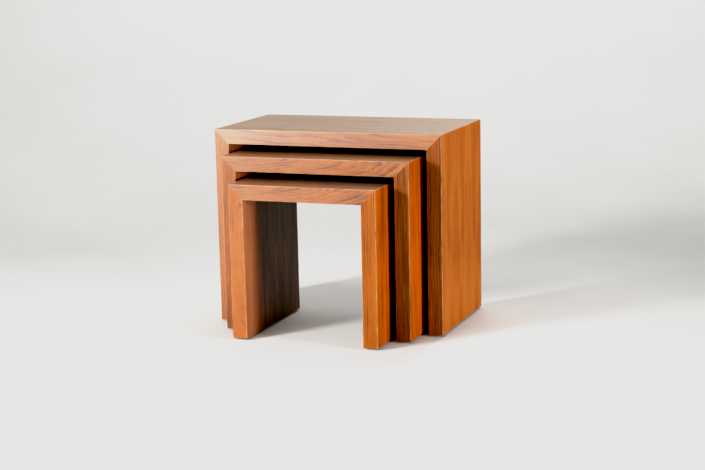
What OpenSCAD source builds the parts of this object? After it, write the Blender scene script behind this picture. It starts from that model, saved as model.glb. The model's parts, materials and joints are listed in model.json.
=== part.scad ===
// Nest of three waterfall tables. Each table is a thick top and two thick legs, mitred
// into an inverted U, and stands inside the next larger one. Every slab is a core with
// a face veneer on both sides and a solid lipping on its front and back edge.
// Millimetres, +Z up. The origin is on the floor, under the middle of the box that holds
// the three tables as they stand, each smaller one pulled forward (-Y).

/* [Tables] */
// Width of the large table
large_w = 610; // [540:1:760]
// Height of the large table, with its glides
large_h = 508; // [430:1:620]
// Depth of every table from front to back
depth = 340; // [260:5:420]

/* [Nesting] */
// Gap between the legs of one table and the next, on each side
side_gap = 18; // [12:1:24]
// Gap between the underside of one top and the top of the next table
top_gap = 19; // [12:1:24]
// Distance that each table stands out in front of the next larger one
pull_out = 83; // [0:1:160]

/* [Slabs] */
// Thickness of the tops and legs
slab_t = 38; // [30:0.5:45]
// Thickness of the face veneers
veneer_t = 0.8; // [0.6:0.1:1.5]
// Depth of the lippings on the front and back edges
lipping_d = 6; // [4:0.5:12]
// Radius of the eased arrises along the lippings
arris_r = 1.5; // [0.5:0.1:2]

/* [Mitre splines] */
// Width of the plywood spline that crosses each mitre
spline_w = 20; // [12:1:22]
// Thickness of the spline
spline_t = 6; // [4:0.5:8]
// Distance from each end of the spline to the front or back of the table
spline_stop = 40; // [20:5:80]
// Play between a spline and its slot, on every side
spline_play = 0.1; // [0.05:0.05:0.3]

/* [Glides] */
// Diameter of the glides under the legs
glide_d = 20; // [16:1:26]
// Height of the glides
glide_h = 5; // [4:0.5:8]
// Distance from the front or back of a table to the centre of its glide
glide_inset = 24; // [20:1:60]
// Radius of the rounded rim under a glide
glide_rim_r = 2.5; // [1:0.5:3]
// Diameter of the nail moulded into a glide
nail_d = 2; // [1.5:0.1:3]
// Length of the nail under its head
nail_l = 16; // [12:1:25]

/* [Hidden] */
$fn = 64;
// Nail head, moulded into the glide this far above the floor
head_d = 6;
head_t = 1;
head_z = 1.2;
// Length of a nail's point, and the diameter at its tip
point_l = 3;
point_d = 0.3;
// Room round a nail in its pilot hole, and beyond its tip
pilot_play = 0.1;
pilot_spare = 1;

face_brown = "#b5652b";
lipping_brown = "#c67f45";
lining_brown = "#8f5226";
core_tan = "#cfae80";
spline_tan = "#dcc498";
glide_brown = "#4b3424";
steel = "#a8abb0";

TABLES = ["large", "middle", "small"];
SIDES = ["left", "right"];
EDGES = ["front", "back"];
SLAB_LAYERS = ["core", "veneer", "lining"];
PIECES = concat(
    [for (layer = SLAB_LAYERS) str("top_", layer)],
    [for (side = SIDES) for (piece = concat(SLAB_LAYERS, ["spline"])) str(side, "_", piece)],
    [for (edge = EDGES) for (slab = concat(["top"], SIDES)) str(edge, "_", slab, "_lipping")],
    ["glides", "glide_nails"]
);

// Half the width, the height and the middle in Y of table i: 0 large, 1 middle, 2 small
function half_w(i) = large_w / 2 - i * (slab_t + side_gap);
function height(i) = large_h - i * (slab_t + top_gap);
function middle_y(i) = (1 - i) * pull_out;

// Outline of a layer of the top, from one depth under its outer face to another
function top_outline(i, outer, inner) = [
    [-half_w(i) + outer, height(i) - outer],
    [-half_w(i) + inner, height(i) - inner],
    [half_w(i) - inner, height(i) - inner],
    [half_w(i) - outer, height(i) - outer]
];

// Outline of a layer of the right leg, from one depth under its outer face to another
function leg_outline(i, outer, inner) = [
    [half_w(i) - outer, height(i) - outer],
    [half_w(i) - inner, height(i) - inner],
    [half_w(i) - inner, glide_h],
    [half_w(i) - outer, glide_h]
];

// Puts pieces drawn about a table's own middle where that table stands
module at_table(i) {
    translate([0, middle_y(i), 0])
        children();
}

// Turns a right-hand piece into its left-hand twin
module on_side(side) {
    mirror([side == "left" ? 1 : 0, 0, 0])
        children();
}

// Turns a front piece into its twin at the back
module on_edge(edge) {
    mirror([0, edge == "back" ? 1 : 0, 0])
        children();
}

// A front-view outline, run from front_y towards the back over a length
module run_back(front_y, length) {
    translate([0, front_y + length, 0])
        rotate([90, 0, 0])
            linear_extrude(length)
                children();
}

// A front-view outline, run between the front and the back lipping
module between_lippings() {
    run_back(lipping_d - depth / 2, depth - 2 * lipping_d)
        children();
}

// Spline of the right-hand mitre, grown by some play on every side
module spline_bar(i, play) {
    translate([half_w(i) - slab_t / 2, 0, height(i) - slab_t / 2])
        rotate([0, 45, 0])
            cube([spline_w, depth - 2 * spline_stop, spline_t] + 2 * play * [1, 1, 1], center = true);
}

module top_core(i) {
    color(core_tan)
        difference() {
            between_lippings()
                polygon(top_outline(i, veneer_t, slab_t - veneer_t));
            for (side = SIDES)
                on_side(side) spline_bar(i, spline_play);
        }
}

module leg_core(i) {
    color(core_tan)
        difference() {
            between_lippings()
                polygon(leg_outline(i, veneer_t, slab_t - veneer_t));
            spline_bar(i, spline_play);
            at_leg_glides(i)
                pilot_hole();
        }
}

module top_veneer(i) {
    color(face_brown)
        between_lippings()
            polygon(top_outline(i, 0, veneer_t));
}

module leg_veneer(i) {
    color(face_brown)
        between_lippings()
            polygon(leg_outline(i, 0, veneer_t));
}

// Veneer on the underside of the top
module top_lining(i) {
    color(lining_brown)
        between_lippings()
            polygon(top_outline(i, slab_t - veneer_t, slab_t));
}

// Veneer on the inner face of a leg
module leg_lining(i) {
    color(lining_brown)
        between_lippings()
            polygon(leg_outline(i, slab_t - veneer_t, slab_t));
}

// Cross-section of a lipping: its exposed edge is at x = 0 and has both arrises eased
module lipping_profile() {
    translate([arris_r, 0])
        square([lipping_d - arris_r, slab_t]);
    translate([0, arris_r])
        square([lipping_d, slab_t - 2 * arris_r]);
    for (y = [arris_r, slab_t - arris_r])
        translate([arris_r, y])
            circle(arris_r);
}

module top_lipping(i) {
    color(lipping_brown)
        intersection() {
            run_back(-depth / 2, lipping_d)
                polygon(top_outline(i, 0, slab_t));
            translate([0, -depth / 2, height(i) - slab_t])
                rotate([90, 0, 90])
                    linear_extrude(2 * half_w(i), center = true)
                        lipping_profile();
        }
}

module leg_lipping(i) {
    color(lipping_brown)
        intersection() {
            run_back(-depth / 2, lipping_d)
                polygon(leg_outline(i, 0, slab_t));
            translate([half_w(i), -depth / 2, 0])
                rotate([0, 0, 90])
                    linear_extrude(height(i))
                        lipping_profile();
        }
}

module spline(i) {
    color(spline_tan)
        spline_bar(i, 0);
}

// Puts a copy over each of the two glides of the right leg
module at_leg_glides(i) {
    for (y = [glide_inset - depth / 2, depth / 2 - glide_inset])
        translate([half_w(i) - slab_t / 2, y, 0])
            children();
}

module at_all_glides(i) {
    for (side = SIDES)
        on_side(side) at_leg_glides(i)
            children();
}

module pilot_hole() {
    cylinder(h = head_z + head_t + nail_l + pilot_spare, d = nail_d + 2 * pilot_play);
}

module nail() {
    shank_l = nail_l - point_l;
    translate([0, 0, head_z]) {
        cylinder(h = head_t, d = head_d);
        cylinder(h = head_t + shank_l, d = nail_d);
        translate([0, 0, head_t + shank_l])
            cylinder(h = point_l, d1 = nail_d, d2 = point_d);
    }
}

// Flat-bottomed button with a rounded rim, moulded round the head of its nail
module glide() {
    difference() {
        rotate_extrude() {
            square([glide_d / 2 - glide_rim_r, glide_h]);
            translate([0, glide_rim_r])
                square([glide_d / 2, glide_h - glide_rim_r]);
            translate([glide_d / 2 - glide_rim_r, glide_rim_r])
                circle(glide_rim_r);
        }
        nail();
    }
}

module glides(i) {
    color(glide_brown)
        at_all_glides(i)
            glide();
}

module glide_nails(i) {
    color(steel)
        at_all_glides(i)
            nail();
}

for (i = [0 : len(TABLES) - 1]) {
    table = TABLES[i];
    at_table(i) top_core(i);
    at_table(i) top_veneer(i);
    at_table(i) top_lining(i);
    for (side = SIDES) {
        leg = str(table, "_", side);
        at_table(i) on_side(side) leg_core(i);
        at_table(i) on_side(side) leg_veneer(i);
        at_table(i) on_side(side) leg_lining(i);
        at_table(i) on_side(side) spline(i);
    }
    for (edge = EDGES) {
        rim = str(table, "_", edge);
        at_table(i) on_edge(edge) top_lipping(i);
        for (side = SIDES)
            at_table(i) on_edge(edge) on_side(side) leg_lipping(i);
    }
    at_table(i) glides(i);
    at_table(i) glide_nails(i);
}
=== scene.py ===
import json
import math

import bmesh
import bpy
from mathutils import Matrix, Vector, noise

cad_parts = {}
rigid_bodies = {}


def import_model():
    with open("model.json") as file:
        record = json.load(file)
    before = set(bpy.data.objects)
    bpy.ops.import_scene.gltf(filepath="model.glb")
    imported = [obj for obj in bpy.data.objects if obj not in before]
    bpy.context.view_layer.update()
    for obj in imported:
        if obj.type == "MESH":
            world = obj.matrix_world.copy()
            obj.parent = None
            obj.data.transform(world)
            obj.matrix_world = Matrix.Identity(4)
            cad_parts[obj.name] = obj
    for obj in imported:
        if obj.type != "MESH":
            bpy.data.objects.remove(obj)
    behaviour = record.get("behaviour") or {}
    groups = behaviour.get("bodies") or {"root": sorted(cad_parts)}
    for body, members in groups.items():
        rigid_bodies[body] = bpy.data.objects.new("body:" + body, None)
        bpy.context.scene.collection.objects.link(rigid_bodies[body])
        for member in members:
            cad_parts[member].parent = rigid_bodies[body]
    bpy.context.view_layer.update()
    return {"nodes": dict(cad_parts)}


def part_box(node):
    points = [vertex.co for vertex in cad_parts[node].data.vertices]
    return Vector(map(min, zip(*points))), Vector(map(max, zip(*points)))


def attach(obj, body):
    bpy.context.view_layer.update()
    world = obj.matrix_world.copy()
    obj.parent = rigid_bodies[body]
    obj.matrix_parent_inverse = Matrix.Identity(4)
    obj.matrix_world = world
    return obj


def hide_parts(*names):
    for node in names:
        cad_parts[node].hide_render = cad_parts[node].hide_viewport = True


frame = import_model()

TABLES = ("large", "middle", "small")
SLABS = ("top", "left", "right")
LEGS = ("left", "right")
MM = 0.001

# ---------------------------------------------------------------- slabs and layers

# Each slab's own axes: along its grain, across it from front to back, and out of its face
AXES = {
    "top": (Vector((1, 0, 0)), Vector((0, 1, 0)), Vector((0, 0, 1))),
    "left": (Vector((0, 0, 1)), Vector((0, 1, 0)), Vector((-1, 0, 0))),
    "right": (Vector((0, 0, -1)), Vector((0, 1, 0)), Vector((1, 0, 0))),
}
# 1 where the slab's start or end, along its grain, is mitred, and 0 where it is square
MITRES = {"top": (1, 1), "left": (0, 1), "right": (1, 0)}

CORNER_EASE = 0.7 * MM  # easing of the outer corner where two slabs meet
CORNER_STEPS = 4
CORNER_RUB_AND_GLINT = 0.8       # how much that corner is rubbed and painted pale as a highlight, from 0 to 1
RIM_STEPS = 4           # steps round the eased rim of a square end
SEAM_EASE = 0.12 * MM   # open edge of a glued seam
SEAM_GAP = 0.02 * MM
RUB_AND_GLINT_REACH = 0.7 * MM   # how far the rubbing and the painted highlight reach beside an arris
GLUE_REACH = 0.55 * MM  # how far a mitre's pale line reaches from the seam
LOG_STEP = 1.37         # metres along the log from one seed to the next
SHARP = math.radians(35)


class Layer:
    """A mitred strip of a slab, lying where a CAD node lies, along the slab's own axes."""

    def __init__(self, node, slab):
        self.along, self.across, self.out = AXES[slab]
        self.mitres = MITRES[slab]
        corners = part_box(node)
        self.start, self.end = sorted(c.dot(self.along) for c in corners)
        self.front, self.back = sorted(c.y for c in corners)
        inner, self.face = sorted(c.dot(self.out) for c in corners)
        self.depth = self.face - inner
        self.length = self.end - self.start

    def place(self, a, y, depth):
        """A point from its distance along the slab, its y, and its depth under the face."""
        return self.along * a + self.across * y + self.out * (self.face - depth)


class Cut:
    """How a piece was sawn or sliced from its log, and how its stain came out.

    aside and under say how far the pith lies, in millimetres, beside and under the middle
    line of the piece's face. lean and slew are the angles, in degrees, at which the grain
    rises out of the face and runs across it. The tone darkens the wood, on some pieces as
    painted shade, and warm makes it more orange."""

    def __init__(self, seed, aside, under, lean=0.0, slew=0.0, tone=0.0, warm=0.0):
        self.shift = Vector((seed * LOG_STEP, aside * MM, under * MM))
        self.turn = Matrix.Rotation(math.radians(lean), 3, "Y")
        self.turn @= Matrix.Rotation(math.radians(slew), 3, "Z")
        self.tone = tone
        self.warm = warm

    def in_log(self, a, y, depth):
        """Where a point of the piece lay in its log, with the pith on the x axis."""
        return self.turn @ Vector((a, y, -depth)) + self.shift


def quarter_turn(steps):
    return [math.pi / 2 * k / steps for k in range(steps + 1)]


def eased(u, d, radius):
    """A point by a corner of two faces, u and d from them, moved onto the corner's arc."""
    if u >= radius or d >= radius:
        return u, d
    inward = Vector((radius - u, radius - d))
    if inward.length <= radius:
        return u, d
    inward *= radius / inward.length
    return radius - inward.x, radius - inward.y


def mitred_end():
    """Cross-sections at a mitred end: distance from the end, and how far each draws in."""
    eases = [(CORNER_EASE * (k + 1) / CORNER_STEPS, 0) for k in range(CORNER_STEPS)]
    return [(SEAM_GAP, SEAM_EASE), (SEAM_EASE, 0)] + eases + [(CORNER_EASE + RUB_AND_GLINT_REACH, 0)]


def square_end(ease):
    """Cross-sections at a square end with its whole rim eased."""
    turns = reversed(quarter_turn(RIM_STEPS))
    rim = [(ease * (1 - math.sin(t)), ease * (1 - math.cos(t))) for t in turns]
    return rim + [(ease + RUB_AND_GLINT_REACH, 0)]


def stations(layer, step, ease):
    """Every cross-section of a layer: distance along its face, and how far it draws in."""
    ends = [mitred_end() if mitred else square_end(ease) for mitred in layer.mitres]
    first, last = ends[0][-1][0], layer.length - ends[1][-1][0]
    count = max(1, round((last - first) / step))
    between = [(first + (last - first) * k / count, 0) for k in range(1, count)]
    return ends[0] + between + [(layer.length - u, c) for u, c in reversed(ends[1])]


def drawn_in(points, amount):
    """A closed outline of (y, depth, rubbing and painted highlight) points with every point moved
    inwards.
    """
    if not amount:
        return points
    middle = [sum(p[k] for p in points) / len(points) for k in (0, 1)]
    moved = []
    for k, (y, d, wear_and_glint) in enumerate(points):
        before, after = points[k - 1], points[(k + 1) % len(points)]
        tangent = Vector((after[0] - before[0], after[1] - before[1])).normalized()
        normal = Vector((-tangent.y, tangent.x))
        if normal.dot(Vector((middle[0] - y, middle[1] - d))) < 0:
            normal.negate()
        moved.append((y + normal.x * amount, d + normal.y * amount, wear_and_glint))
    return moved


def ring_points(layer, section, t, amount):
    """One cross-section's points: (along, y, depth, rubbing and painted highlight, glue) for each.
    """
    starts, ends = layer.mitres
    near_start = t < layer.length / 2
    edge = min(t, layer.length - t)
    found = []
    for y, d, wear_and_glint in drawn_in(section(t), amount):
        room = layer.length - (starts + ends) * d
        a = starts * d + room * t / layer.length
        glue = 0.0
        if (starts if near_start else ends):
            u = a if near_start else layer.length - a
            u, d = eased(u, d, CORNER_EASE)
            a = u if near_start else layer.length - u
            glue = max(0.0, 1 - edge / GLUE_REACH)
        if edge <= CORNER_EASE and d < 2 * CORNER_EASE:
            wear_and_glint = max(wear_and_glint, CORNER_RUB_AND_GLINT)
        found.append((layer.start + a, y, d, wear_and_glint, glue))
    return found


# ---------------------------------------------------------------- meshes

# What each point of the wood carries for its finish: how rubbed it is, with its painted
# highlight, how near to a glue line, its piece's tone, in places painted shade, and warmth,
# and its distance from the front of its layer, which sets the painted shade inside the legs
NUMBERS = ("wear_and_glint", "glue", "tone", "warm", "inward")
# and its place in the log, and the way that the fibres run
VECTORS = ("grain", "fibre")


def wood_bmesh():
    bm = bmesh.new()
    for name in NUMBERS:
        bm.verts.layers.float.new(name)
    for name in VECTORS:
        bm.verts.layers.float_vector.new(name)
    return bm


def skin(bm, rings):
    """Joins a row of rings of vertices into one closed solid."""
    count = len(rings[0])
    for one, other in zip(rings, rings[1:]):
        for k in range(count):
            j = (k + 1) % count
            bm.faces.new((one[k], one[j], other[j], other[k]))
    bm.faces.new(rings[0])
    bm.faces.new(rings[-1])


def sweep(bm, layer, section, cut, step, ease, across_log):
    """Adds one closed strip to bm: a cross-section swept along the layer's grain.

    across_log turns a point's y and depth into its distances across and into the log."""
    numbers = [bm.verts.layers.float[name] for name in NUMBERS]
    grain, fibre = [bm.verts.layers.float_vector[name] for name in VECTORS]
    rings = []
    for t, amount in stations(layer, step, ease):
        ring = []
        for a, y, d, wear_and_glint, glue in ring_points(layer, section, t, amount):
            vert = bm.verts.new(layer.place(a, y, d))
            values = (wear_and_glint, glue, cut.tone, cut.warm, y - layer.front)
            for number, value in zip(numbers, values):
                vert[number] = value
            vert[grain] = cut.in_log(a, *across_log(y, d))
            vert[fibre] = layer.along
            ring.append(vert)
        rings.append(ring)
    skin(bm, rings)


def finish_piece(bm, name, body, node, material):
    """Turns bm into a shown piece that stands for a CAD node and rides on its body."""
    bmesh.ops.recalc_face_normals(bm, faces=bm.faces)
    for face in bm.faces:
        face.smooth = True
    mesh = bpy.data.meshes.new(name)
    bm.to_mesh(mesh)
    bm.free()
    mesh.set_sharp_from_angle(angle=SHARP)
    piece = bpy.data.objects.new(name, mesh)
    bpy.context.scene.collection.objects.link(piece)
    mesh.materials.append(material)
    shading = piece.modifiers.new("weighted_normals", "WEIGHTED_NORMAL")
    shading.keep_sharp = True
    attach(piece, body)
    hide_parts(node)


# ---------------------------------------------------------------- shaders

NOISE_LOW, NOISE_HIGH = 0.3, 0.7  # what a noise seldom leaves


def srgb(red, green, blue):
    """A linear colour from display values of 0 to 255."""
    channels = [c / 255 for c in (red, green, blue)]
    return [c / 12.92 if c <= 0.04045 else ((c + 0.055) / 1.055) ** 2.4 for c in channels] + [1]


class Shader:
    """A material's node tree, with short calls that add a node and link it."""

    def __init__(self, name):
        self.material = bpy.data.materials.new(name)
        self.material.use_nodes = True
        self.tree = self.material.node_tree
        self.tree.nodes.clear()

    def add(self, kind, inputs=None, **settings):
        node = self.tree.nodes.new("ShaderNode" + kind)
        for key, value in settings.items():
            setattr(node, key, value)
        for key, value in (inputs or {}).items():
            self.feed(node.inputs[key], value)
        return node

    def feed(self, socket, value):
        if isinstance(value, bpy.types.NodeSocket):
            self.tree.links.new(value, socket)
        else:
            socket.default_value = value

    def attribute(self, name, output="Fac"):
        return self.add("Attribute", attribute_name=name).outputs[output]

    def place(self):
        """Where a point lies on its own object."""
        return self.add("TexCoord").outputs["Object"]

    def calc(self, operation, *values, clamp=False):
        numbered = dict(enumerate(values))
        return self.add("Math", numbered, operation=operation, use_clamp=clamp).outputs[0]

    def vector(self, operation, *values):
        node = self.add("VectorMath", dict(enumerate(values)), operation=operation)
        return node.outputs["Value" if operation in ("LENGTH", "DOT_PRODUCT") else "Vector"]

    def noise(self, vector, scale, detail=2.0, rough=0.5, output="Fac"):
        """Noise from 0 to 1 on a vector stretched by scale, in cells to the metre."""
        stretched = self.vector("MULTIPLY", vector, scale)
        inputs = {"Vector": stretched, "Scale": 1.0, "Detail": detail, "Roughness": rough}
        return self.add("TexNoise", inputs).outputs[output]

    def random(self, number, output="Value"):
        """A value or a colour of its own for every whole number."""
        return self.add("TexWhiteNoise", {"W": number}, noise_dimensions="1D").outputs[output]

    def step(self, value, low, high, to_low=0.0, to_high=1.0):
        """A smooth step: to_low below low, to_high above high, and eased between them."""
        inputs = {"Value": value, "From Min": low, "From Max": high}
        inputs.update({"To Min": to_low, "To Max": to_high})
        node = self.add("MapRange", inputs, interpolation_type="SMOOTHSTEP")
        return node.outputs["Result"]

    def vary(self, value, to_low=0.0, to_high=1.0):
        """A noise, stretched to use the whole way from to_low to to_high."""
        return self.step(value, NOISE_LOW, NOISE_HIGH, to_low, to_high)

    def mix(self, factor, first, second):
        node = self.add("Mix", data_type="RGBA", clamp_factor=True)
        self.feed(node.inputs[0], factor)
        self.feed(node.inputs[6], first)
        self.feed(node.inputs[7], second)
        return node.outputs[2]

    def bump(self, height, strength, distance):
        inputs = {"Height": height, "Strength": strength, "Distance": distance}
        return self.add("Bump", inputs).outputs[0]

    def finish(self, **inputs):
        named = {key.replace("_", " "): value for key, value in inputs.items()}
        shader = self.add("BsdfPrincipled", named)
        self.add("OutputMaterial", {"Surface": shader.outputs[0]})
        return self.material


# ---------------------------------------------------------------- wood

RING = 4.4 * MM  # one year's growth
# How a trunk bends: noise cells to the metre, and how far it moves the grain in metres
BENDS = (((1.5, 9, 9), 0.018), ((6, 32, 32), 0.006), ((22, 120, 120), 0.0012))
# Noise cells to the metre, along the log and across it
CLOUDS = (3.5, 26, 26)
STREAKS = (3, 100, 100)
FIBRES = (26, 1500, 1500)
PORES = (60, 1700, 1700)
FADING = (9, 45, 45)
SCUFFS = (70, 260, 260)
RUBBING = (30, 300, 300)
# Relief of the fibres, the open pores and the late wood
FIBRE_RELIEF, PORE_RELIEF, LATE_RELIEF = 0.02 * MM, 0.05 * MM, 0.01 * MM
# pale of rubbed wood and scuffs; on the arrises it is also their painted highlight
PALE_RUB_AND_HIGHLIGHT = srgb(206, 158, 120)
GLUE = srgb(216, 170, 134)
SHADE_FROM, SHADE_TO = 60 * MM, 110 * MM  # from the front, where the painted shade inside the legs begins and where it is full
WOOD_IOR = 1.6
ACROSS_FIBRES = 0.25  # of a full turn, from the way the fibres run to that of the sheen
COAT_ROUGHNESS = 0.28


def warped(s, log):
    """The log's space, bent at three scales the way a trunk grows."""
    for scale, reach in BENDS:
        drift = s.noise(log, scale, output="Color")
        drift = s.vector("SUBTRACT", drift, (0.5, 0.5, 0.5))
        log = s.vector("ADD", log, s.vector("MULTIPLY", drift, (0, 2 * reach, 2 * reach)))
    return log


def growth_rings(s, bent):
    """How dark the late wood is, from 0, and where in the year's growth a point lies."""
    radius = s.vector("LENGTH", s.vector("MULTIPLY", bent, (0, 1, 1)))
    count = s.calc("DIVIDE", radius, RING)
    season = s.calc("FRACT", count)
    rise = s.step(season, 0.15, 0.85)
    fall = s.step(season, 0.88, 1.0, 1.0, 0.0)
    strength = s.step(s.random(s.calc("FLOOR", count)), 0.1, 1.0, 0.25, 1.0)
    fading = s.vary(s.noise(bent, FADING, 3, 0.6), 0.35, 1.1)
    late = s.calc("MULTIPLY", s.calc("MULTIPLY", rise, fall), s.calc("MULTIPLY", strength, fading))
    return late, season


def wood_darkness(s, bent, late, cloud, fibre, figure, mottle, inner_shade):
    """How far the colour lies from pale, at 0, to dark, at 1."""
    streak = s.noise(bent, STREAKS, 4, 0.65)
    darkness = s.calc("MULTIPLY", late, figure)
    darkness = s.calc("ADD", darkness, s.vary(streak, -0.16, 0.26))
    darkness = s.calc("ADD", darkness, s.vary(cloud, -mottle, mottle))
    darkness = s.calc("ADD", darkness, s.vary(fibre, -0.17, 0.17))
    # painted shade: the linings darken away from the front, where less light reaches inside the
    # legs
    if inner_shade:
        painted_shade = s.step(s.attribute("inward"), SHADE_FROM, SHADE_TO, 0.0, inner_shade)
        darkness = s.calc("ADD", darkness, painted_shade)
    # the piece's tone, which on some pieces is painted shade
    return s.calc("ADD", darkness, s.attribute("tone"), clamp=True)


def stained(s, darkness, cloud, pore, pale, dark, warm):
    """The colour of the stain, with its warmer patches and dark pores."""
    warmth = s.calc("ADD", s.attribute("warm"), s.step(cloud, 0.4, 0.65, 0.0, 0.3), clamp=True)
    colour = s.mix(warmth, s.mix(darkness, pale, dark), s.mix(darkness, warm, dark))
    return s.mix(s.calc("MULTIPLY", pore, 0.5), colour, dark)


def rubbed(s, log, wear_and_glint, colour):
    """The colour with a few scuffs, rubbed arrises painted pale, which is also their painted
    highlight, and pale glue lines in the mitres.
    """
    scuff = s.step(s.noise(log, SCUFFS, 3, 0.7), 0.74, 0.80)
    colour = s.mix(s.calc("MULTIPLY", scuff, 0.35), colour, PALE_RUB_AND_HIGHLIGHT)
    rub = s.noise(log, RUBBING, 3, 0.6)
    # rubbed arrises painted pale, which is also their painted highlight
    colour = s.mix(s.calc("MULTIPLY", wear_and_glint, s.vary(rub, 0.05, 0.68)), colour, PALE_RUB_AND_HIGHLIGHT)
    glue = s.calc("MULTIPLY", s.attribute("glue"), s.vary(rub, 0.2, 0.8))
    return s.mix(glue, colour, GLUE)


def wood_roughness(s, fibre, pore, cloud, wear_and_glint, gloss):
    """Rougher in the pores and along some fibres, smoother where hands have rubbed."""
    rough = s.calc("ADD", s.vary(fibre, gloss - 0.04, gloss + 0.05),
                   s.calc("MULTIPLY", pore, 0.15))
    rough = s.calc("ADD", rough, s.vary(cloud, -0.02, 0.03))
    return s.calc("SUBTRACT", rough, s.calc("MULTIPLY", wear_and_glint, 0.05))


def wood_bump(s, fibre, pore, late):
    """Fine fibres, open pores, and late wood that stands a little proud."""
    height = s.calc("SUBTRACT", s.calc("MULTIPLY", fibre, FIBRE_RELIEF),
                    s.calc("MULTIPLY", pore, PORE_RELIEF))
    height = s.calc("ADD", height, s.calc("MULTIPLY", late, LATE_RELIEF))
    return s.bump(height, 0.6, 1.0)


def wood(name, pale, dark, warm, figure=0.6, mottle=0.13, gloss=0.45, spread=0.5, coat=0.0,
         polish=0.6, inner_shade=0.0):
    """Stained, satin wood: growth rings, streaks, fibres and pores in the log's own space.

    figure and mottle say how strongly the rings and the clouds show, gloss how rough the
    finish is, spread how much wider the sheen is across the fibres, and the last argument
    how much painted shade darkens the wood away from the front, where less light reaches."""
    s = Shader(name)
    log = s.attribute("grain", "Vector")
    wear_and_glint = s.attribute("wear_and_glint")
    bent = warped(s, log)
    late, season = growth_rings(s, bent)
    cloud = s.noise(log, CLOUDS, 3, 0.6)
    fibre = s.noise(bent, FIBRES, 3, 0.6)
    pore = s.step(s.noise(bent, PORES, 1), 0.60, 0.72)
    pore = s.calc("MULTIPLY", pore, s.step(season, 0.0, 0.5, 1.0, 0.35))
    darkness = wood_darkness(s, bent, late, cloud, fibre, figure, mottle, inner_shade)
    colour = stained(s, darkness, cloud, pore, pale, dark, warm)
    return s.finish(Base_Color=rubbed(s, log, wear_and_glint, colour),
                    Roughness=wood_roughness(s, fibre, pore, cloud, wear_and_glint, gloss),
                    Normal=wood_bump(s, fibre, pore, late), IOR=WOOD_IOR,
                    Tangent=s.attribute("fibre", "Vector"), Anisotropic=spread,
                    Anisotropic_Rotation=ACROSS_FIBRES, Specular_IOR_Level=polish,
                    Coat_Weight=coat, Coat_Roughness=COAT_ROUGHNESS)


# ---------------------------------------------------------------- other materials

STRIP = 25 * MM       # width of the softwood strips in the cores
CORE_RING = 2.4 * MM  # growth rings of that softwood
PLY_PAIR = 2.4 * MM   # thickness of a pale and a darker ply of the splines
THROUGH_PLIES = (0.7071, 0, 0.7071)  # across the plies of a right-hand spline


def plastic(name, colour, scuffed):
    """Moulded nylon with a fine matt grain and scuffs from the floor."""
    s = Shader(name)
    place = s.place()
    grain = s.noise(place, (1800, 1800, 1800))
    scuff = s.step(s.noise(place, (300, 1400, 900), 4, 0.65), 0.5, 0.75)
    base = s.mix(s.calc("MULTIPLY", scuff, 0.6), colour, scuffed)
    rough = s.calc("ADD", s.vary(grain, 0.38, 0.5), s.calc("MULTIPLY", scuff, 0.2))
    return s.finish(Base_Color=base, Roughness=rough, Normal=s.bump(grain, 0.3, 0.02 * MM))


def steel(name):
    """Drawn steel wire with fine lines along it and a faint bloom of rust."""
    s = Shader(name)
    place = s.place()
    lines = s.noise(place, (5200, 5200, 160), 3, 0.6)
    bloom = s.step(s.noise(place, (240, 240, 240), 4, 0.6), 0.55, 0.75)
    base = s.mix(s.vary(lines), srgb(150, 152, 156), srgb(196, 198, 202))
    base = s.mix(s.calc("MULTIPLY", bloom, 0.4), base, srgb(120, 74, 48))
    return s.finish(Base_Color=base, Roughness=s.vary(lines, 0.25, 0.42),
                    Normal=s.bump(lines, 0.3, 0.01 * MM), Metallic=1.0)


def core_wood(name):
    """Blockboard core: softwood strips side by side, with end grain, stained at the cut."""
    s = Shader(name)
    place = s.place()
    strip = s.calc("DIVIDE", s.add("SeparateXYZ", {0: place}).outputs["Y"], STRIP)
    edge = s.calc("ABSOLUTE", s.calc("SUBTRACT", s.calc("FRACT", strip), 0.5))
    joint = s.step(edge, 0.485, 0.5)
    number = s.calc("FLOOR", strip)
    around = s.vector("ADD", place, s.vector("MULTIPLY", s.random(number, "Color"),
                                             (0.3, 0.04, 0.3)))
    wobble = s.noise(around, (60, 60, 60))
    radius = s.vector("LENGTH", s.vector("MULTIPLY", around, (1, 1, 0)))
    rings = s.calc("FRACT", s.calc("ADD", s.calc("DIVIDE", radius, CORE_RING), wobble))
    fleck = s.noise(place, (900, 900, 900), 3)
    base = s.mix(s.step(rings, 0.2, 0.9), srgb(150, 104, 66), srgb(112, 72, 42))
    base = s.mix(s.step(s.random(number), 0, 1, 0.0, 0.35), base, srgb(96, 60, 36))
    base = s.mix(s.calc("MULTIPLY", fleck, 0.35), base, srgb(70, 42, 24))
    base = s.mix(joint, base, srgb(46, 28, 18))
    height = s.calc("ADD", s.calc("MULTIPLY", rings, 0.05 * MM),
                    s.calc("MULTIPLY", joint, -0.3 * MM))
    return s.finish(Base_Color=base, Roughness=s.vary(fleck, 0.6, 0.8),
                    Normal=s.bump(height, 0.7, 1.0))


def ply_wood(name):
    """Birch plywood: thin plies in turn pale and darker through the thickness."""
    s = Shader(name)
    place = s.place()
    through = s.vector("DOT_PRODUCT", place, THROUGH_PLIES)
    ply = s.calc("FRACT", s.calc("DIVIDE", through, PLY_PAIR))
    fibre = s.noise(place, (900, 40, 900), 3, 0.6)
    base = s.mix(s.step(ply, 0.45, 0.55), srgb(226, 200, 158), srgb(190, 152, 108))
    base = s.mix(s.calc("MULTIPLY", fibre, 0.4), base, srgb(168, 128, 84))
    return s.finish(Base_Color=base, Roughness=s.vary(fibre, 0.55, 0.75),
                    Normal=s.bump(fibre, 0.4, 0.05 * MM))


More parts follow.
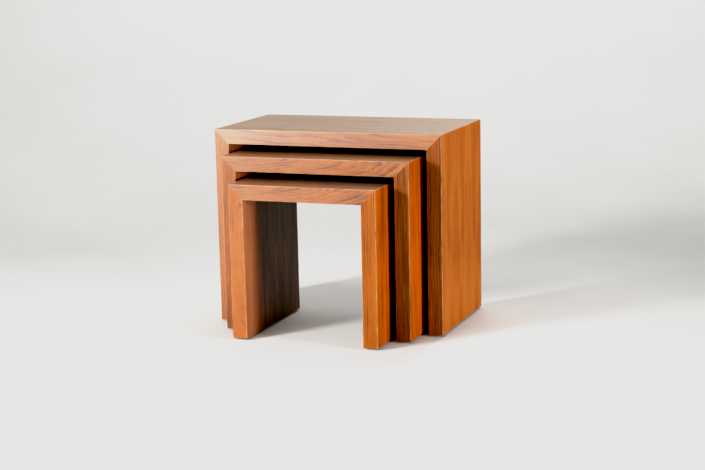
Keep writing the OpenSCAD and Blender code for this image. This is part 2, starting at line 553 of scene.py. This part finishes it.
PALE = srgb(160, 92, 28)
DARK = srgb(77, 40, 13)
WARM = srgb(172, 82, 14)
TOP = wood("walnut_top", srgb(146, 99, 36), srgb(66, 43, 16), srgb(150, 82, 22), gloss=0.48,
           spread=0.65, coat=0.3, polish=1.0)
SIDE = wood("walnut_side", PALE, DARK, WARM, figure=0.32, mottle=0.24, gloss=0.5, polish=0.12)
# The lippings' finish, from the most polished to the dullest
LIPPINGS = {name: wood(f"walnut_edge_{name}", PALE, DARK, WARM, figure=0.75, gloss=0.43,
                       spread=0.4, coat=0.1, polish=polish)
            for name, polish in (("polished", 0.88), ("satin", 0.56), ("dull", 0.22))}
# Inside the legs the wood darkens away from the front edge: painted shade, where little light
# reaches, ending in a dark greenish grey
LINING = wood("walnut_lining", srgb(156, 84, 24), srgb(45, 44, 32), srgb(150, 74, 18),
              figure=0.25, mottle=0.1, gloss=0.5, inner_shade=0.68)
CORE = core_wood("blockboard")
SPLINE = ply_wood("birch_ply")
NYLON = plastic("brown_nylon", srgb(72, 46, 28), srgb(120, 92, 68))
STEEL = steel("drawn_steel")

# ---------------------------------------------------------------- lippings

ARRIS = 1.5 * MM      # radius of the eased arrises along the lippings
ARRIS_STEPS = 6
ARRIS_WOBBLE = 0.16   # how unevenly they were eased by hand, as a share of the radius
ARRIS_LOSS = 0.6      # of that share, by which they are sharper than the radius
ARRIS_PACE = 9        # noise cells to the metre along an arris
ARRIS_SEED = 3.1      # noise cells from one lipping to the next
INNER_ARRIS = 7.0     # noise cells from a lipping's outer to its inner arris
ARRIS_RUB_AND_GLINT, RIDGE_RUB_AND_GLINT = 0.55, 0.45  # how pale an arris is painted, for rubbing and as a highlight, and how much more at its ridge
RING_STEP = 9 * MM    # spacing of the cross-sections along a lipping
FOOT_EASE = 0.6 * MM  # easing round the foot of a leg


def exposed_edge(layer, edge):
    """The y of a lipping's exposed edge, and which way in y leads inwards from it."""
    return (layer.front, 1) if edge == "front" else (layer.back, -1)


def arris(t, seed, shift):
    """A quarter round at t: the distances in from its two faces, and how rubbed it is, with its
    painted highlight.
    """
    place = Vector((t * ARRIS_PACE, seed * ARRIS_SEED, shift))
    radius = ARRIS * (1 + ARRIS_WOBBLE * (noise.noise(place) - ARRIS_LOSS))
    return [(radius * (1 - math.cos(turn)), radius * (1 - math.sin(turn)),
             ARRIS_RUB_AND_GLINT + RIDGE_RUB_AND_GLINT * math.sin(2 * turn)) for turn in quarter_turn(ARRIS_STEPS)]


def lipping_section(layer, edge, seed):
    """A lipping's cross-section at t: full slab thickness, with both outer arrises eased."""
    depth, width = layer.depth, layer.back - layer.front
    exposed, inward = exposed_edge(layer, edge)
    clear = ARRIS + RUB_AND_GLINT_REACH

    def section(t):
        inner = [(y, depth - d, wear_and_glint) for y, d, wear_and_glint in arris(t, seed, INNER_ARRIS)]
        points = arris(t, seed, 0.0)
        points += [(clear, 0, 0), (width, 0, 0), (width, depth, 0), (clear, depth, 0)]
        points += list(reversed(inner)) + [(0, depth - clear, 0), (0, clear, 0)]
        return [(exposed + inward * y, d, wear_and_glint) for y, d, wear_and_glint in points]

    return section


def lipping(table, edge, slab, cut, seed, finish):
    """A solid lipping. Its flat-sawn side is the exposed edge, so the log lies behind it."""
    node = f"{table}_{edge}_{slab}_lipping"
    layer = Layer(node, slab)
    exposed, inward = exposed_edge(layer, edge)
    middle = layer.depth / 2
    bm = wood_bmesh()

    def across_log(y, d):
        return d - middle, inward * (y - exposed)

    section = lipping_section(layer, edge, seed)
    sweep(bm, layer, section, cut, RING_STEP, FOOT_EASE, across_log)
    finish_piece(bm, f"{table}_{edge}_{slab}_edge", f"{table}_table", node,
                 LIPPINGS[finish])


# ---------------------------------------------------------------- veneers

LEAVES = 3
SLICE = 0.9 * MM        # from one leaf of veneer to the next in the log
VENEER_EASE = 0.3 * MM  # easing of a veneer's rim at the foot of a leg


def veneer(table, slab, kind, name, cut, material):
    """A veneer, laid as leaves of one width, every other one turned over like a page."""
    node = f"{table}_{slab}_{kind}"
    layer = Layer(node, slab)
    width = (layer.back - layer.front) / LEAVES
    bm = wood_bmesh()
    for k in range(LEAVES):
        low = layer.front + k * width
        outline = [(low, 0, 0), (low + width, 0, 0)]
        outline += [(low + width, layer.depth, 0), (low, layer.depth, 0)]
        turned = 1 if k % 2 else -1
        middle = low + width / 2

        def across_log(y, d):
            return turned * (y - middle), k * SLICE + d

        sweep(bm, layer, lambda t: outline, cut, layer.length, VENEER_EASE, across_log)
    finish_piece(bm, f"{table}_{slab}_{name}", f"{table}_table", node, material)


# ---------------------------------------------------------------- glides

GLIDE_D = 20 * MM
GLIDE_STEPS = 40
GLIDE_RIM = 2.5 * MM    # radius of the rounded rim on the floor
GLIDE_RIM_STEPS = 6
GLIDE_FLAT = 0.45       # innermost ring of the flat bottom, as a share of the radius
COLLAR_H = 0.9 * MM     # height of the narrower collar under the leg
COLLAR_IN = 0.35 * MM   # how far it steps in
COLLAR_SLOPE = 0.2 * MM


def glide_profile(radius, height):
    """Half outline of a glide, from its flat bottom round the rim and up to the leg."""
    middle = radius - GLIDE_RIM
    rounded = [(middle + GLIDE_RIM * math.sin(t), GLIDE_RIM - GLIDE_RIM * math.cos(t))
               for t in quarter_turn(GLIDE_RIM_STEPS)]
    lip, neck = height - COLLAR_H, radius - COLLAR_IN
    collar = [(radius, lip - COLLAR_SLOPE), (neck, lip), (neck, height)]
    return [(radius * GLIDE_FLAT, 0.0)] + rounded + collar


def glide_set(table):
    """The four glides of a table as lathed buttons, in one piece as one node holds them."""
    node = f"{table}_glides"
    low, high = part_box(node)
    radius, height = GLIDE_D / 2, high.z - low.z
    turns = [2 * math.pi * k / GLIDE_STEPS for k in range(GLIDE_STEPS)]
    bm = bmesh.new()
    for x in (low.x + radius, high.x - radius):
        for y in (low.y + radius, high.y - radius):
            skin(bm, [[bm.verts.new((x + r * math.cos(t), y + r * math.sin(t), z))
                       for t in turns] for r, z in glide_profile(radius, height)])
    finish_piece(bm, f"{table}_glide_buttons", f"{table}_table", node, NYLON)


# ---------------------------------------------------------------- the three tables

# How each front lipping was cut: seed, aside, under, lean, slew, tone, warm. The darker tone of
# the right legs of the large and middle tables is painted shade.
FRONT_CUTS = {
    ("large", "top"): Cut(1, 30, 60, 2.0, 0.6, 0.1, 0.0),
    ("large", "left"): Cut(2, -30, 45, 2.5, -0.6, 0.02, 0.0),
    # darker as painted shade: this leg stands in the middle table's shadow
    ("large", "right"): Cut(3, 60, 10, 1.0, 0.4, 0.36, 0.1),
    ("middle", "top"): Cut(4, 28, 35, -8.0, -0.8, 0.11, 0.0),
    ("middle", "left"): Cut(5, 26, 34, 4.0, 1.0, 0.2, 0.1),
    # darker as painted shade: this leg stands in the small table's shadow
    ("middle", "right"): Cut(6, -56, 12, 1.5, 0.5, 0.3, 0.0),
    ("small", "top"): Cut(7, 26, 30, -10.0, -1.0, 0.21, 0.1),
    ("small", "left"): Cut(8, -24, 40, 12.0, 1.0, -0.18, 0.2),
    ("small", "right"): Cut(9, 50, 24, 3.0, 1.3, 0.05, 0.1),
}
# Tone and warmth of the veneers on top of each table, and on the outside of its legs
TOP_SHADES = {"large": (0.0, 0.075), "middle": (-0.15, 0.4), "small": (0.0, 0.4)}
LEG_SHADES = {"large": (0.1, 0.15), "middle": (0.06, 0.8), "small": (0.2, 0.8)}
# Tone of the linings; those of the large and middle tables, deep between the legs, are darker as
# painted shade
LINING_TONES_AND_SHADE = {"large": 0.15, "middle": 0.15, "small": 0.06}
BACK_TONE = 0.02
# What sets the seeds of the veneers and the back lippings apart
FACE_SEED, LINING_SEED, BACK_SEED = 20.3, 50.7, 80.1
BACK_ARRIS = 0.5  # and those of the back arrises from the front ones


def veneers(table, slab, number, k):
    """The face and the lining veneer of slab k of a table."""
    seed = 10 * number + k
    shades, material = (TOP_SHADES, TOP) if slab == "top" else (LEG_SHADES, SIDE)
    tone, warm = shades[table]
    face = Cut(seed + FACE_SEED, aside=30 + 7 * k, under=150 + 20 * number, lean=0.25,
               slew=0.5, tone=tone, warm=warm)
    veneer(table, slab, "veneer", "face", face, material)
    lining = Cut(seed + LINING_SEED, aside=-22, under=120, lean=0.3, slew=-0.4,
                 tone=LINING_TONES_AND_SHADE[table])
    veneer(table, slab, "lining", "inner_face", lining, LINING)


def lippings(table, slab, number, k):
    """The front and the back lipping of slab k of a table."""
    seed = 10 * number + k
    finish = "dull" if slab == "right" else "polished" if table == "large" else "satin"
    lipping(table, "front", slab, FRONT_CUTS[table, slab], seed, finish)
    back = Cut(seed + BACK_SEED, aside=5 - 4 * k, under=44 + 3 * number, lean=1.2,
               slew=0.8 - 0.5 * k, tone=BACK_TONE)
    lipping(table, "back", slab, back, seed + BACK_ARRIS, "satin")


def finish_node(node, material):
    """Gives a CAD node that stays its own finish."""
    shape = frame["nodes"][node]
    shape.data.materials.clear()
    shape.data.materials.append(material)


def build_table(table, number):
    for k, slab in enumerate(SLABS):
        veneers(table, slab, number, k)
        lippings(table, slab, number, k)
        finish_node(f"{table}_{slab}_core", CORE)
    for leg in LEGS:
        finish_node(f"{table}_{leg}_spline", SPLINE)
    finish_node(f"{table}_glide_nails", STEEL)
    glide_set(table)


# ---------------------------------------------------------------- studio

# The camera: how far round to the right of the front, how far up, and its tilt
AZIMUTH, ELEVATION, ROLL = (math.radians(angle) for angle in (21.23, 10.83, -1.19))
EYE = (1.4574, -3.6611, 0.9827)
LENS, SENSOR = 79.28, 36
SIGHT = 50  # metres that the camera sees

PAPER_FRONT = -16.0    # along the camera's line of sight, from the object
SWEEP_START = 1.0      # where the floor begins to rise
SWEEP = ((4.5, 34), (1.5, 90))  # radius of each part of the sweep, and its slope at the end
SWEEP_STEPS = 24
WALL_TOP = 4.2
HALF_WIDTH = 16.0

AIM = Vector((0, 0, 0.25))
# Softboxes on the object: degrees to the right of the front and up, metres away and
# across, watts, and the degrees that the grid lets through
SOFTBOXES = {
    "key": (-36, 17, 3.3, 0.6, 143, 180),
    "fill": (76, 5, 3.3, 0.45, 115, 180),
    "over": (-20, 55, 2.6, 1.2, 6, 90),
    "hair": (175, 60, 2.3, 1.0, 4, 60),
}
# Lamps on the paper: where each hangs and what it faces, both to the right of the
# camera's line, away along it and up; metres wide and high, watts, and grid degrees
WASHES = {
    "wall_wash": ((0.2, 1.6, 2.6), (0.2, 4.2, 2.6), 3.0, 0.7, 46, 120),
    "sweep_wash": ((0.6, 2.2, 3.2), (0.6, 2.7, 0.6), 4.6, 0.7, 19, 90),
    "far_floor": ((0, -8.2, 4), (0, -8.2, 0), 20, 8, 1000, 90),
}
ROOM_LIGHT = 0.32

GAMMA = 0.92
BLACK = 0.031
WHITE = 0.81
SHOULDER = ((0.25, 0.25), (0.5, 0.5), (0.69, 0.67), (0.82, 0.755))


def seen(right, away, up):
    """A point by how far it lies to the right of the camera's line, away along it, and up."""
    return Vector((right * math.cos(AZIMUTH) - away * math.sin(AZIMUTH),
                   right * math.sin(AZIMUTH) + away * math.cos(AZIMUTH), up))


def paper_material():
    """Matt white paper with a fine tooth and a faint mottle."""
    s = Shader("studio_paper")
    place = s.place()
    mottle = s.noise(place, (3, 3, 3), 3)
    tooth = s.noise(place, (900, 900, 900))
    base = s.mix(s.vary(mottle), srgb(218, 217, 214), srgb(222, 221, 218))
    return s.finish(Base_Color=base, Roughness=0.9, Normal=s.bump(tooth, 0.1, 0.1 * MM),
                    Specular_IOR_Level=0.2)


def paper_profile():
    """Side view of the paper: flat floor, a slow rise, a tighter curve, and the wall."""
    away, up, slope = SWEEP_START, 0.0, 0.0
    profile = [(PAPER_FRONT, 0.0), (away, up)]
    for radius, end in SWEEP:
        turn = (math.radians(end) - slope) / SWEEP_STEPS
        for _ in range(SWEEP_STEPS):
            away += radius * (math.sin(slope + turn) - math.sin(slope))
            up += radius * (math.cos(slope) - math.cos(slope + turn))
            slope += turn
            profile.append((away, up))
    return profile + [(away, WALL_TOP)]


def backdrop():
    bm = bmesh.new()
    left, right = [[bm.verts.new(seen(side, away, up)) for away, up in paper_profile()]
                   for side in (-HALF_WIDTH, HALF_WIDTH)]
    for k in range(len(left) - 1):
        face = bm.faces.new((left[k], right[k], right[k + 1], left[k + 1]))
        face.smooth = True
    mesh = bpy.data.meshes.new("paper")
    bm.to_mesh(mesh)
    bm.free()
    mesh.materials.append(paper_material())
    paper = bpy.data.objects.new("paper", mesh)
    bpy.context.scene.collection.objects.link(paper)


def panel(name, place, aim, width, height, watts, spread):
    """A rectangular area light facing a point, with a grid that narrows it to a spread."""
    light = bpy.data.lights.new(name, "AREA")
    light.shape = "RECTANGLE"
    light.size, light.size_y = width, height
    light.energy = watts
    light.spread = math.radians(spread)
    lamp = bpy.data.objects.new(name, light)
    lamp.location = place
    lamp.rotation_euler = (place - aim).to_track_quat("Z", "Y").to_euler()
    bpy.context.scene.collection.objects.link(lamp)
    return lamp


def softbox(name, azimuth, elevation, distance, size, watts, spread):
    """A square light on the object, placed by its angles as seen from there."""
    az, el = math.radians(azimuth), math.radians(elevation)
    towards = Vector((math.sin(az) * math.cos(el), -math.cos(az) * math.cos(el), math.sin(el)))
    return panel(name, AIM + towards * distance, AIM, size, size, watts, spread)


def flag(lamp, pieces):
    """Keeps a lamp's light off some pieces, as a black card on a stand would."""
    shaded = bpy.data.collections.new(f"{lamp.name}_flag")
    for piece in pieces:
        shaded.objects.link(piece)
    for member in shaded.collection_objects:
        member.light_linking.link_state = "EXCLUDE"
    lamp.light_linking.receiver_collection = shaded


def lights():
    lamps = {name: softbox(name, *settings) for name, settings in SOFTBOXES.items()}
    flag(lamps["key"], [bpy.data.objects[f"{table}_top_face"] for table in TABLES])
    for name, (place, aim, *settings) in WASHES.items():
        panel(name, seen(*place), seen(*aim), *settings)


def room():
    """An even white light from every side."""
    world = bpy.data.worlds.new("studio")
    world.use_nodes = True
    sky = world.node_tree.nodes["Background"]
    sky.inputs["Color"].default_value = (1, 1, 1, 1)
    sky.inputs["Strength"].default_value = ROOM_LIGHT
    bpy.context.scene.world = world


def film(view):
    """The photograph's tone curve: deep blacks, and a soft shoulder under paper white."""
    view.view_transform = "Standard"
    view.look = "None"
    view.gamma = GAMMA
    view.use_curve_mapping = True
    curves = view.curve_mapping
    curves.extend = "HORIZONTAL"
    curves.black_level = (BLACK, BLACK, BLACK)
    combined = curves.curves[3]
    combined.points[0].location = (0, 0)
    combined.points[-1].location = (1, WHITE)
    for level, shown in SHOULDER:
        combined.points.new(level, shown)
    curves.update()


def camera():
    """A long lens, to the right of the front and a little above, turned slightly clockwise."""
    forward = Vector((-math.sin(AZIMUTH) * math.cos(ELEVATION),
                      math.cos(AZIMUTH) * math.cos(ELEVATION), -math.sin(ELEVATION)))
    right = Vector((math.cos(AZIMUTH), math.sin(AZIMUTH), 0))
    up = right.cross(forward)
    across = right * math.cos(ROLL) + up * math.sin(ROLL)
    upright = up * math.cos(ROLL) - right * math.sin(ROLL)
    lens = bpy.data.cameras.new("camera")
    lens.sensor_width = SENSOR
    lens.lens = LENS
    lens.clip_end = SIGHT
    eye = bpy.data.objects.new("camera", lens)
    turn = Matrix((across, upright, -forward)).transposed()
    eye.matrix_world = Matrix.Translation(EYE) @ turn.to_4x4()
    bpy.context.scene.collection.objects.link(eye)
    bpy.context.scene.camera = eye


for number, table in enumerate(TABLES):
    build_table(table, number)
backdrop()
lights()
room()
film(bpy.context.scene.view_settings)
camera()
